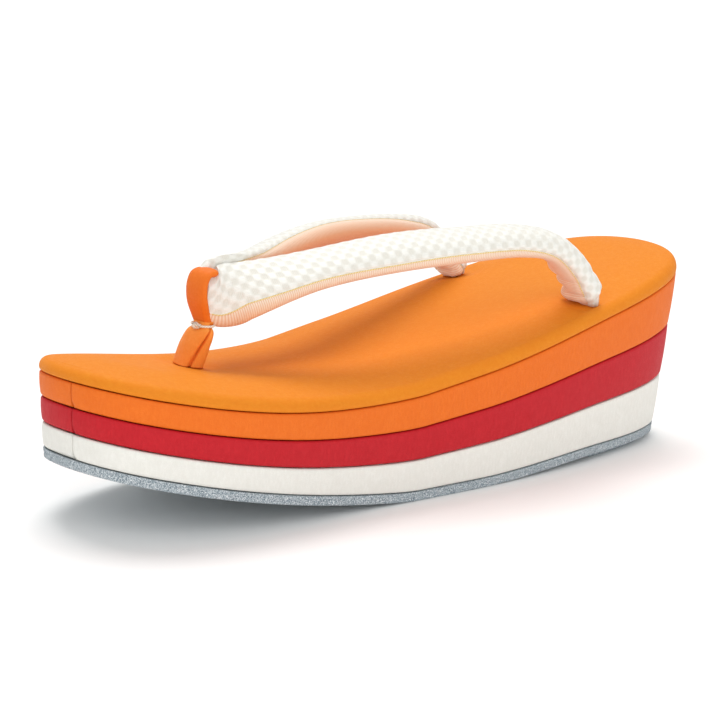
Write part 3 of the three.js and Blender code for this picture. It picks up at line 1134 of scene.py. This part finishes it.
STRAP_ROWS = (
    StrapRow(-71.5, 0.9, 61.8, 62.3, 6.0, 2.4, 88.0),
    StrapRow(-67.6, 2.2, 61.2, 63.0, 8.6, 3.0, 82.0),
    StrapRow(-61.0, 4.8, 62.8, 65.2, 9.0, 3.1, 52.0),
    StrapRow(-40.0, 11.4, 67.7, 68.4, 7.8, 4.4, 24.0),
    StrapRow(-15.0, 17.8, 71.4, 71.1, 7.8, 4.9, 21.0),
    StrapRow(9.0, 23.4, 72.7, 70.9, 7.7, 4.7, 19.0),
    StrapRow(28.0, 27.0, 72.8, 69.5, 7.3, 4.9, 15.0),
    StrapRow(41.7, 29.0, 70.1, 67.0, 6.7, 4.9, 10.0),
    StrapRow(51.2, 30.0, 63.1, 61.1, 6.3, 4.8, 3.0),
    StrapRow(59.4, 30.0, 52.9, 52.9, 5.9, 5.2, 0.0),
)
ROOT_LEAN = 0.6  # the straps go into the footbed a little behind their last section


@dataclass
class Strap:
    """One padded strap: woven cloth above, ribbed lining below, a gold cord along both seams."""

    last: Last
    side: Side
    cloth: Material
    lining: Material
    gold: Material
    rows: tuple[StrapRow, ...] = STRAP_ROWS
    steps: int = 300
    face_columns: int = 44
    lining_columns: int = 24
    # Distance from the toe end, and the seam's angle in the section in degrees
    outer_seam: Table = (
        (0.0, 50.0), (7.0, 62.0), (13.0, 58.0), (22.6, 42.0), (33.5, 26.0), (45.0, 15.0), (57.0, 10.0),
        (70.0, 12.0), (88.0, 11.0), (98.0, 4.0), (109.0, -8.0), (120.0, -36.0), (127.0, -50.0),
        (135.0, -58.0), (143.0, -60.0),
    )
    inner_seam: Table = (
        (0.0, -60.0), (12.0, -42.0), (22.0, -12.0), (34.0, 22.0), (50.0, 38.0), (80.0, 38.0),
        (110.0, 20.0), (143.0, -15.0),
    )
    fullness: float = 0.82
    face_fullness: float = 0.95
    lining_fullness: float = 0.9
    lining_depth: float = 0.8
    seam_groove: float = 0.45
    seam_width: float = 0.8
    groove_starts: tuple[float, float] = (6.0, 12.0)
    check: float = 2.15
    check_relief: float = 0.1
    check_starts: tuple[float, float] = (0.6, 2.2)
    # Distance from the root, turn in degrees, length and height
    puckers: Table = (
        (19.0, 205.0, 1.3, -0.6), (15.2, 200.0, 2.6, 1.3), (12.0, 195.0, 0.8, -1.1), (9.3, 195.0, 1.9, 1.3),
        (6.6, 190.0, 0.8, -1.6), (3.0, 205.0, 2.4, 1.9), (4.5, 262.0, 0.9, -0.8), (10.5, 250.0, 1.0, -0.7),
        (5.5, 120.0, 1.6, -0.35), (9.0, 60.0, 2.2, -0.3),
    )
    pucker_spread: float = 42.0
    gather: float = 0.16
    gathers: float = 11.0
    gather_reach: float = 3.5
    hem: float = 1.6
    hem_tuck: float = 0.3
    swell: float = 0.04
    swell_from_root: float = 4.0
    swell_length: float = 3.0
    # Painted reflection on the lining: near the root only this share of the distance from the seam counts,
    # so the painted apricot comes in later; full from the second end on
    bounce_pale_share: float = 0.3
    bounce_pale_ends: tuple[float, float] = (8.0, 34.0)
    half_gap: float = 0.12
    root_depth: float = 0.5
    cord_radii: tuple[float, float] = (0.2, 0.12)
    cord_sections: tuple[int, int, int] = (18, -9, 2)

    def frames(self) -> dict[str, Array]:
        """Centres, directions and sizes of the sections.

        Returns:
            Arrays by name, a row for each section.
        """
        sign = float(self.side.value)
        share = np.linspace(0.0, 1.0, self.steps + 1)
        left = self.side is Side.LEFT
        path = Path([(row.x, sign * row.y, row.left if left else row.right) for row in self.rows])
        places = np.linspace(0.0, 1.0, len(self.rows))
        half, thick, roll = (
            Cubic(places, [getattr(row, name) for row in self.rows])(share)
            for name in ("half", "thick", "roll")
        )
        centre = path.at(share)
        tangent = path.tangent(share)
        outward = np.array([0.0, sign, 0.0])
        flat = outward - tangent * (tangent @ outward)[:, None]
        flat /= np.linalg.norm(flat, axis=1)[:, None]
        up = -sign * np.cross(flat, tangent)
        roll = np.radians(roll)[:, None]
        return {
            "centre": centre,
            "wide": np.cos(roll) * flat - np.sin(roll) * up,
            "face": np.sin(roll) * flat + np.cos(roll) * up,
            "half": half,
            "thick": thick,
            "walk": walk_along(centre),
        }

    def section_angles(self, walk: Array) -> Array:
        """Angles round each section: first the woven face, then the lining.

        Args:
            walk: Distance of each section from the toe end.

        Returns:
            Angles in radians, a row for each section.
        """
        outer, inner = (
            np.radians(Cubic(*zip(*table))(walk))[:, None] for table in (self.outer_seam, self.inner_seam)
        )
        low, high = outer, math.pi - inner
        face = np.linspace(0.0, 1.0, self.face_columns, endpoint=False)
        lining = np.linspace(0.0, 1.0, self.lining_columns, endpoint=False)
        return np.hstack([low + (high - low) * face, high + (low + 2.0 * math.pi - high) * lining])

    def surface(self) -> tuple[Array, Array]:
        """Points of the strap and their places on the cloth, or from the seam on the lining.

        Returns:
            Points as sections by columns by three, and cloth places as sections by columns by two.
        """
        at = self.frames()
        walk = at["walk"][:, None]
        left = at["walk"][-1] - walk
        angles = self.section_angles(at["walk"])
        cosine, sine = np.cos(angles), np.sin(angles)
        wide = np.sign(cosine) * np.abs(cosine) ** self.fullness
        above = np.abs(sine) ** self.face_fullness
        below = -self.lining_depth * np.abs(sine) ** self.lining_fullness
        swell = self.swell * np.exp(-(((left - self.swell_from_root) / self.swell_length) ** 2))
        tight = 1.0 - self.hem_tuck * np.exp(-((left / self.hem) ** 2)) + swell
        half, thick = at["half"][:, None] * tight, at["thick"][:, None] * tight
        offset = np.stack([half * wide, thick * np.where(sine > 0.0, above, below)], axis=2)
        around = np.hypot(*np.moveaxis(np.roll(offset, -1, axis=1) - offset, 2, 0))
        total = np.cumsum(around, axis=1) - around
        crown = self.face_columns // 2
        across = total - total[:, crown : crown + 1]
        first_seam = np.abs(across - across[:, :1])
        second_seam = np.abs(across - across[:, self.face_columns : self.face_columns + 1])
        girth = (total[:, -1] + around[:, -1])[:, None]
        seam = np.minimum(np.minimum(first_seam, girth - first_seam), second_seam)
        is_face = np.arange(angles.shape[1]) < self.face_columns
        wave = math.pi / self.check
        relief = self.check_relief * np.sin(wave * walk) * np.sin(wave * across)
        groove = self.seam_groove * np.exp(-((seam / self.seam_width) ** 2))
        proud = np.where(is_face, relief * ease(seam, *self.check_starts), 0.0)
        proud = proud - groove * ease(walk, *self.groove_starts)
        proud = proud + self.pleats(left, np.degrees(angles) % 360.0)
        normal = offset / np.stack([half**2, thick**2], axis=2)
        offset = offset + proud[:, :, None] * normal / np.linalg.norm(normal, axis=2)[:, :, None]
        points = at["centre"][:, None, :] + offset[:, :, :1] * at["wide"][:, None, :]
        points = points + offset[:, :, 1:] * at["face"][:, None, :]
        sign = float(self.side.value)
        points[:, :, 1] = sign * np.maximum(sign * points[:, :, 1], self.half_gap)
        points[-1, :, 2] = self.last.footbed(points[-1, :, 0], points[-1, :, 1]) - self.root_depth
        # Lining place from the seam, which sets its painted reflection of the footbed, shortened near the
        # root
        inward = seam * (self.bounce_pale_share + (1.0 - self.bounce_pale_share) * ease(left, *self.bounce_pale_ends))
        return points, np.stack(np.broadcast_arrays(walk, np.where(is_face, across, inward)), axis=2)

    def pleats(self, left: Array, turn: Array) -> Array:
        """Soft lumps and folds on the inside of the bend, where the cloth bunches at the root.

        Args:
            left: Distance of each section from the root.
            turn: Angle of each point round its section, in degrees.

        Returns:
            How far the surface stands out.
        """
        total = np.zeros_like(turn)
        for place, centre, length, height in self.puckers:
            away = (turn - centre) / self.pucker_spread
            total = total + height * np.exp(-(((left - place) / length) ** 2) - away**2)
        gather = self.gather * np.sin(np.radians(turn) * self.gathers)
        return total + gather * np.exp(-((left / self.gather_reach) ** 2))

    def build(self) -> list[Object]:
        """Builds the strap and its two gold cords.

        Returns:
            The strap first, then the cords.
        """
        points, cloth = self.surface()
        sections, columns = points.shape[:2]
        faces = tube_faces(sections, columns)
        slots = [0 if face[0] % columns < self.face_columns else 1 for face in faces[:-2]] + [0, 1]
        if self.side is Side.LEFT:
            faces = [face[::-1] for face in faces]
        name = f"strap_{self.side.name.lower()}"
        finishes = [self.cloth, self.lining]
        strap = make_mesh(name, points.reshape(-1, 3), faces, finishes, cloth.reshape(-1, 2), slots)
        made = [fit(strap, "strap_weave", "straps")]
        for column, radius, seam in zip((0, self.face_columns), self.cord_radii, ("outer", "inner")):
            line = points[slice(*self.cord_sections), column]  # from inside the loop to the puckers
            made.append(fit(cord_mesh(f"{name}_gold_cord_{seam}", line, radius, self.gold), "thread"))
        return made


def cord_mesh(
    name: str,
    line: Array,
    radius: float,
    material: Material,
    sides: int = 8,
    closed: bool = False,
) -> Object:
    """Makes a round cord along a line of points.

    Args:
        name: Name of the object.
        line: Points in millimetres.
        radius: Radius of the cord.
        material: Material of the cord.
        sides: Sides of its section.
        closed: Whether the line closes on itself.

    Returns:
        The cord.
    """
    if closed:
        tangent = np.roll(line, -1, axis=0) - np.roll(line, 1, axis=0)
    else:
        tangent = np.gradient(line, axis=0)
    tangent /= np.linalg.norm(tangent, axis=1)[:, None]
    seed = np.array([0.0, 0.0, 1.0])
    wide = np.empty_like(line)
    for i, direction in enumerate(tangent):
        seed = seed - direction * (seed @ direction)
        seed = seed / np.linalg.norm(seed)
        wide[i] = seed
    deep = np.cross(tangent, wide)
    angles = full_turn(sides)
    cosine, sine = np.cos(angles)[:, None], np.sin(angles)[:, None]
    points = line[:, None, :] + radius * (cosine * wide[:, None, :] + sine * deep[:, None, :])
    cloth = np.stack(np.broadcast_arrays(walk_along(line)[:, None], angles * radius), axis=2)
    faces = band_faces(len(line), sides, True) if closed else tube_faces(len(line), sides)
    return make_mesh(name, points.reshape(-1, 3), faces, [material], cloth.reshape(-1, 2))


@dataclass
class ToeThong:
    """The leather thong: a loop over the strap joint, and the folded post down to the footbed."""

    last: Last
    finish: Material
    # The post's finish is a lighter copy of the loop's leather: painted light standing in for the footbed's
    # bounce
    post_finish_with_painted_bounce: Material
    # X and Z of the loop's middle line
    loop: Table = (
        (-70.6, 53.9), (-72.3, 57.0), (-73.5, 61.2), (-73.4, 65.4), (-72.0, 68.0), (-69.4, 68.3),
        (-67.6, 65.6), (-67.0, 60.2), (-68.6, 56.0),
    )
    loop_half: float = 4.4
    loop_wall: float = 1.15
    neck_share: float = 0.8
    neck_length: float = 7.0
    rear_x: tuple[float, float] = (-69.6, -67.8)
    rear_narrowing: float = 0.6
    edge_powers: tuple[float, float] = (0.55, 0.8)
    belly: float = 0.16
    gather: float = 0.14
    gathers: float = 5.0
    loop_steps: int = 140
    loop_sides: int = 36
    # Place and half widths across and along, from the footbed up to the neck
    post: Table = (
        (-72.5, 5.0, 41.0, 6.1, 3.3),
        (-72.2, 4.2, 43.6, 6.4, 3.1),
        (-72.0, 3.2, 46.5, 6.4, 3.0),
        (-71.7, 1.8, 49.5, 6.1, 2.9),
        (-71.5, 0.7, 51.6, 5.3, 2.7),
        (-71.4, 0.2, 52.5, 4.3, 2.3),
        (-71.2, 0.0, 53.5, 3.6, 2.0),
        (-70.8, 0.0, 54.5, 3.9, 2.3),
    )
    post_steps: int = 60
    post_sides: int = 96
    post_depth: float = 0.6
    fold_angles: tuple[float, float] = (217.0, 264.0)
    fold_width: float = 5.0
    fold_depth: float = 2.0
    fold_turns_until: float = 0.8
    flap_rise: float = 0.55
    flap_edge: tuple[float, float] = (-2.0, 3.0)
    flap_reach: float = 60.0
    unevenness: float = 0.18
    uneven_turns: tuple[float, float] = (3.0, 5.0)
    uneven_ends: tuple[float, float] = (0.9, 0.5)
    folds_end: tuple[float, float] = (0.97, 0.82)
    set_in: float = 0.2

    def band(self) -> tuple[Array, Faces]:
        """The loop: a folded strip of leather, its turned edges round.

        Returns:
            Points and faces.
        """
        share = np.linspace(0.0, 1.0, self.loop_steps, endpoint=False)
        path = Path([(x, 0.0, z) for x, z in self.loop], closed=True)
        centre = path.at(share)
        tangent = path.tangent(share)
        out = np.stack([-tangent[:, 2], np.zeros(len(share)), tangent[:, 0]], axis=1)
        neck = ease(centre[:, 2], self.loop[0][1], self.loop[0][1] + self.neck_length)
        rear = ease(centre[:, 0], *self.rear_x)
        half = self.loop_half * (self.neck_share + (1.0 - self.neck_share) * neck)
        half = half * (1.0 - self.rear_narrowing * rear)
        angles = full_turn(self.loop_sides)
        wide, deep = (
            np.sign(side) * np.abs(side) ** power
            for side, power in zip((np.cos(angles), np.sin(angles)), self.edge_powers)
        )
        wall = self.loop_wall * deep * (1.0 + self.belly * (1.0 - wide**2))
        gather = self.gather * (1.0 - neck)[:, None] * np.sin(self.gathers * math.pi * wide)
        points = centre[:, None, :] + (wall + gather)[:, :, None] * out[:, None, :]
        points[:, :, 1] = half[:, None] * wide
        return points.reshape(-1, 3), band_faces(self.loop_steps, self.loop_sides, True)

    def stem(self) -> tuple[Array, Faces]:
        """The post: leather rolled round a core, its free edge a fold down the front.

        Returns:
            Points and faces.
        """
        share = np.linspace(0.0, 1.0, self.post_steps + 1)
        places = np.linspace(0.0, 1.0, len(self.post))
        x, y, z, across, along = (Cubic(places, column)(share)[:, None] for column in zip(*self.post))
        angles = full_turn(self.post_sides)
        low, high = self.fold_angles
        share = share[:, None]
        fold = low + (high - low) * ease(share, 0.0, self.fold_turns_until)
        past = (np.degrees(angles) - fold + 180.0) % 360.0 - 180.0
        crack = self.fold_depth * np.exp(-((past / self.fold_width) ** 2))
        flap = self.flap_rise * (1.0 - ease(past, *self.flap_edge))
        flap = flap * np.exp(-((past / self.flap_reach) ** 2))
        lobes, twist = self.uneven_turns
        uneven = self.unevenness * np.sin(lobes * angles + twist * share) * ease(share, *self.uneven_ends)
        inset = (crack - flap + uneven + self.set_in) * ease(share, *self.folds_end)
        ring = (x + (along - inset) * np.cos(angles), y + (across - inset) * np.sin(angles), z)
        points = np.stack(np.broadcast_arrays(*ring), axis=2)
        points[0, :, 2] = self.last.footbed(points[0, :, 0], points[0, :, 1]) - self.post_depth
        return points.reshape(-1, 3), tube_faces(len(share), self.post_sides)

    def build(self) -> Object:
        """Builds the thong in place of its solid.

        Returns:
            The thong.
        """
        loop_points, loop_faces = self.band()
        post_points, post_faces = self.stem()
        moved = [tuple(index + len(loop_points) for index in face) for face in post_faces]
        points = np.vstack([loop_points, post_points])
        slots = [0] * len(loop_faces) + [1] * len(moved)
        finishes = [self.finish, self.post_finish_with_painted_bounce]
        made = make_mesh("toe_thong_leather", points, loop_faces + moved, finishes, None, slots)
        return fit(made, "orange_leather", "toe_thong")


@dataclass
class TieThread:
    """The white thread tied round the thong's neck, with its knot at the front."""

    finish: Material
    neck: tuple[float, float, float] = (-71.2, 0.0, 53.4)
    across: float = 4.05
    along: float = 2.55
    radius: float = 0.36
    turns: float = 1.06
    pitch: float = 0.3
    steps: int = 90
    sides: int = 10
    knot_angle: float = 186.0
    knot_half: tuple[float, float] = (0.45, 0.95)
    knot_radius: float = 0.62
    knot_out: float = 0.3
    knot_twist: float = 0.25
    knot_steps: int = 30

    def build(self) -> list[Object]:
        """Builds the wound thread and its knot.

        Returns:
            The winding and the knot.
        """
        angles = np.linspace(0.0, 2.0 * math.pi * self.turns, self.steps)
        rise = self.pitch * (angles / (2.0 * math.pi) - self.turns / 2.0)
        x, y, z = self.neck
        start = math.radians(self.knot_angle)
        turn = angles + start
        line = np.stack([x + self.along * np.cos(turn), y + self.across * np.sin(turn), z + rise], axis=1)
        winding = cord_mesh("tie_thread_winding", line, self.radius, self.finish, self.sides)
        around = full_turn(self.knot_steps)
        lift, reach = self.knot_half
        line = np.stack(
            [
                x + (self.along + self.knot_out) * math.cos(start) + self.knot_twist * np.sin(2.0 * around),
                y + self.across * math.sin(start) + reach * np.cos(around),
                z + lift * np.sin(around),
            ],
            axis=1,
        )
        knot = cord_mesh("tie_thread_knot", line, self.knot_radius, self.finish, self.sides, closed=True)
        return [fit(winding, "thread", "tie_thread"), fit(knot, "thread")]


# The stage


@dataclass(frozen=True)
class Softbox:
    """A broad soft light from far away, its breadth and directions in degrees."""

    name: str
    strength: float
    breadth: float
    azimuth: float
    elevation: float

    def build(self) -> None:
        """Adds the light."""
        data = bpy.data.lights.new(self.name, "SUN")
        data.energy = self.strength
        data.angle = math.radians(self.breadth)
        lamp = bpy.data.objects.new(self.name, data)
        bpy.context.scene.collection.objects.link(lamp)
        lamp.rotation_euler = (math.radians(90.0 - self.elevation), 0.0, math.radians(self.azimuth))


@dataclass
class Studio:
    """Pale floor, soft light from above and a camera at the sandal's toe quarter."""

    floor_side: float = 24.0
    azimuth: float = -43.22
    elevation: float = 12.68
    roll: float = 1.935
    position_mm: tuple[float, float, float] = (-460.57, -489.62, 176.39)
    focal_px: float = 1667.82 * 1.33  # the photo's own, closed in on the one sandal
    sensor_mm: float = 36.0
    centring_px: tuple[float, float] = (20.8, 29.0)
    clip: tuple[float, float] = (0.02, 60.0)
    sky_strength: float = 0.63
    softboxes: tuple[Softbox, ...] = (
        Softbox("key_softbox", 1.85, 34.0, 150.0, 66.0),
        Softbox("fill_softbox", 1.08, 70.0, -30.0, 27.0),
    )

    def floor(self) -> Object:
        """Lays the floor.

        Returns:
            The floor.
        """
        half = self.floor_side / MM / 2.0
        corners = np.array([(-half, -half, 0.0), (half, -half, 0.0), (half, half, 0.0), (-half, half, 0.0)])
        made = make_mesh("studio_floor", corners, [(0, 1, 2, 3)], [StudioPaper().build()])
        return made

    def camera(self) -> None:
        """Sets the camera, its frame closed in on the one sandal."""
        azimuth, elevation, roll = map(math.radians, (self.azimuth, self.elevation, self.roll))
        flat = math.cos(elevation)
        back = np.array([math.sin(azimuth) * flat, -math.cos(azimuth) * flat, math.sin(elevation)])
        level = np.array([math.cos(azimuth), math.sin(azimuth), 0.0])
        right = math.cos(roll) * level + math.sin(roll) * np.cross(back, level)
        data = bpy.data.cameras.new("camera")
        data.sensor_width = self.sensor_mm
        data.lens = self.focal_px / PHOTO_SIDE_PX * self.sensor_mm
        data.shift_x = -self.centring_px[0] / PHOTO_SIDE_PX
        data.shift_y = self.centring_px[1] / PHOTO_SIDE_PX
        data.clip_start, data.clip_end = self.clip
        camera = bpy.data.objects.new("camera", data)
        bpy.context.scene.collection.objects.link(camera)
        place = np.eye(4)
        place[:3, 0], place[:3, 1], place[:3, 2] = right, np.cross(back, right), back
        place[:3, 3] = np.array(self.position_mm) * MM
        camera.matrix_world = Matrix(place.tolist())
        bpy.context.scene.camera = camera

    def light(self) -> None:
        """Lights the sandal with a white sky, a key light behind it and a fill from the camera's side."""
        scene = bpy.context.scene
        world = bpy.data.worlds.new("studio_sky")
        world.use_nodes = True
        sky = world.node_tree.nodes["Background"]
        sky.inputs["Color"].default_value = (1.0, 1.0, 1.0, 1.0)
        sky.inputs["Strength"].default_value = self.sky_strength
        scene.world = world
        for softbox in self.softboxes:
            softbox.build()
        scene.view_settings.view_transform = "Standard"


def build_sandal() -> None:
    """Builds every piece of the sandal in order and reports it."""
    last = Last()
    rubber = FeltRubber().build()
    LOG.info("outsole: %s", Outsole(last, rubber).build().name)
    LOG.info("heel lift: %s", HeelLift(last, rubber).build().name)
    grain = (0.6, 0.6, 1.5)
    wraps = (
        ("white", Leather("white_calf_pigmented", "#f3f2ec", "#dcdad1", 0.09, grain_mm=grain)),
        ("red", Leather("red_calf_pigmented", "#cf1f2b", "#ab0f1b", 0.09, grain_mm=grain)),
        ("orange", Leather("orange_calf_wrap", "#f07a20", "#e06212", 0.09, grain_mm=grain)),
    )
    for level, (dye, finish) in enumerate(wraps, start=1):
        layer = WrappedLayer(last, level, finish.build(), f"sole_layer_{dye}", f"{dye}_leather")
        LOG.info("layer: %s", layer.build().name)
    root = STRAP_ROWS[-1]
    post_x, post_y, _, across, along = ToeThong.post[0]
    roots = [(root.x + ROOT_LEAN, sign * root.y, root.thick, root.half) for sign in (-1.0, 1.0)]
    roots.append((post_x, post_y, along, across))
    orange = Leather("orange_calf_pigmented", "#e78f27", "#dc761a", 0.07, shine=0.1, coat=0.02)
    LOG.info("footbed: %s", Footbed(last, orange.build(), roots).build().name)
    cloth = WovenCloth().build()
    lining = RibbedLining().build()
    gold = TwistedThread("gold_wrapped_cord", "#f3dc9c", "#dcbb74", roughness=0.45, ply_mm=0.9).build()
    for side in Side:
        for piece in Strap(last, side, cloth, lining, gold).build():
            LOG.info("strap: %s", piece.name)
    grain = (0.7, 0.7, 0.7)
    loop = Leather("orange_calf_thong", "#ee7d22", "#dc6414", 0.05, grain_mm=grain)
    # The post is the same leather as the loop, painted lighter and yellower for the bounce light off the
    # footbed
    post = Leather("orange_calf_post", "#ffa650", "#ec862a", grain_mm=grain, mottle=0.36)
    LOG.info("thong: %s", ToeThong(last, loop.build(), post.build()).build().name)
    linen = TwistedThread("waxed_linen_thread", "#f7efe2", "#d8c7b0").build()
    for piece in TieThread(linen).build():
        LOG.info("thread: %s", piece.name)


def main() -> None:
    """Builds the sandal and its studio."""
    logging.basicConfig(level=logging.INFO, format="%(name)s: %(message)s")
    studio = Studio()
    studio.camera()
    build_sandal()
    LOG.info("stage: %s", studio.floor().name)
    studio.light()


if __name__ == "__main__":
    main()
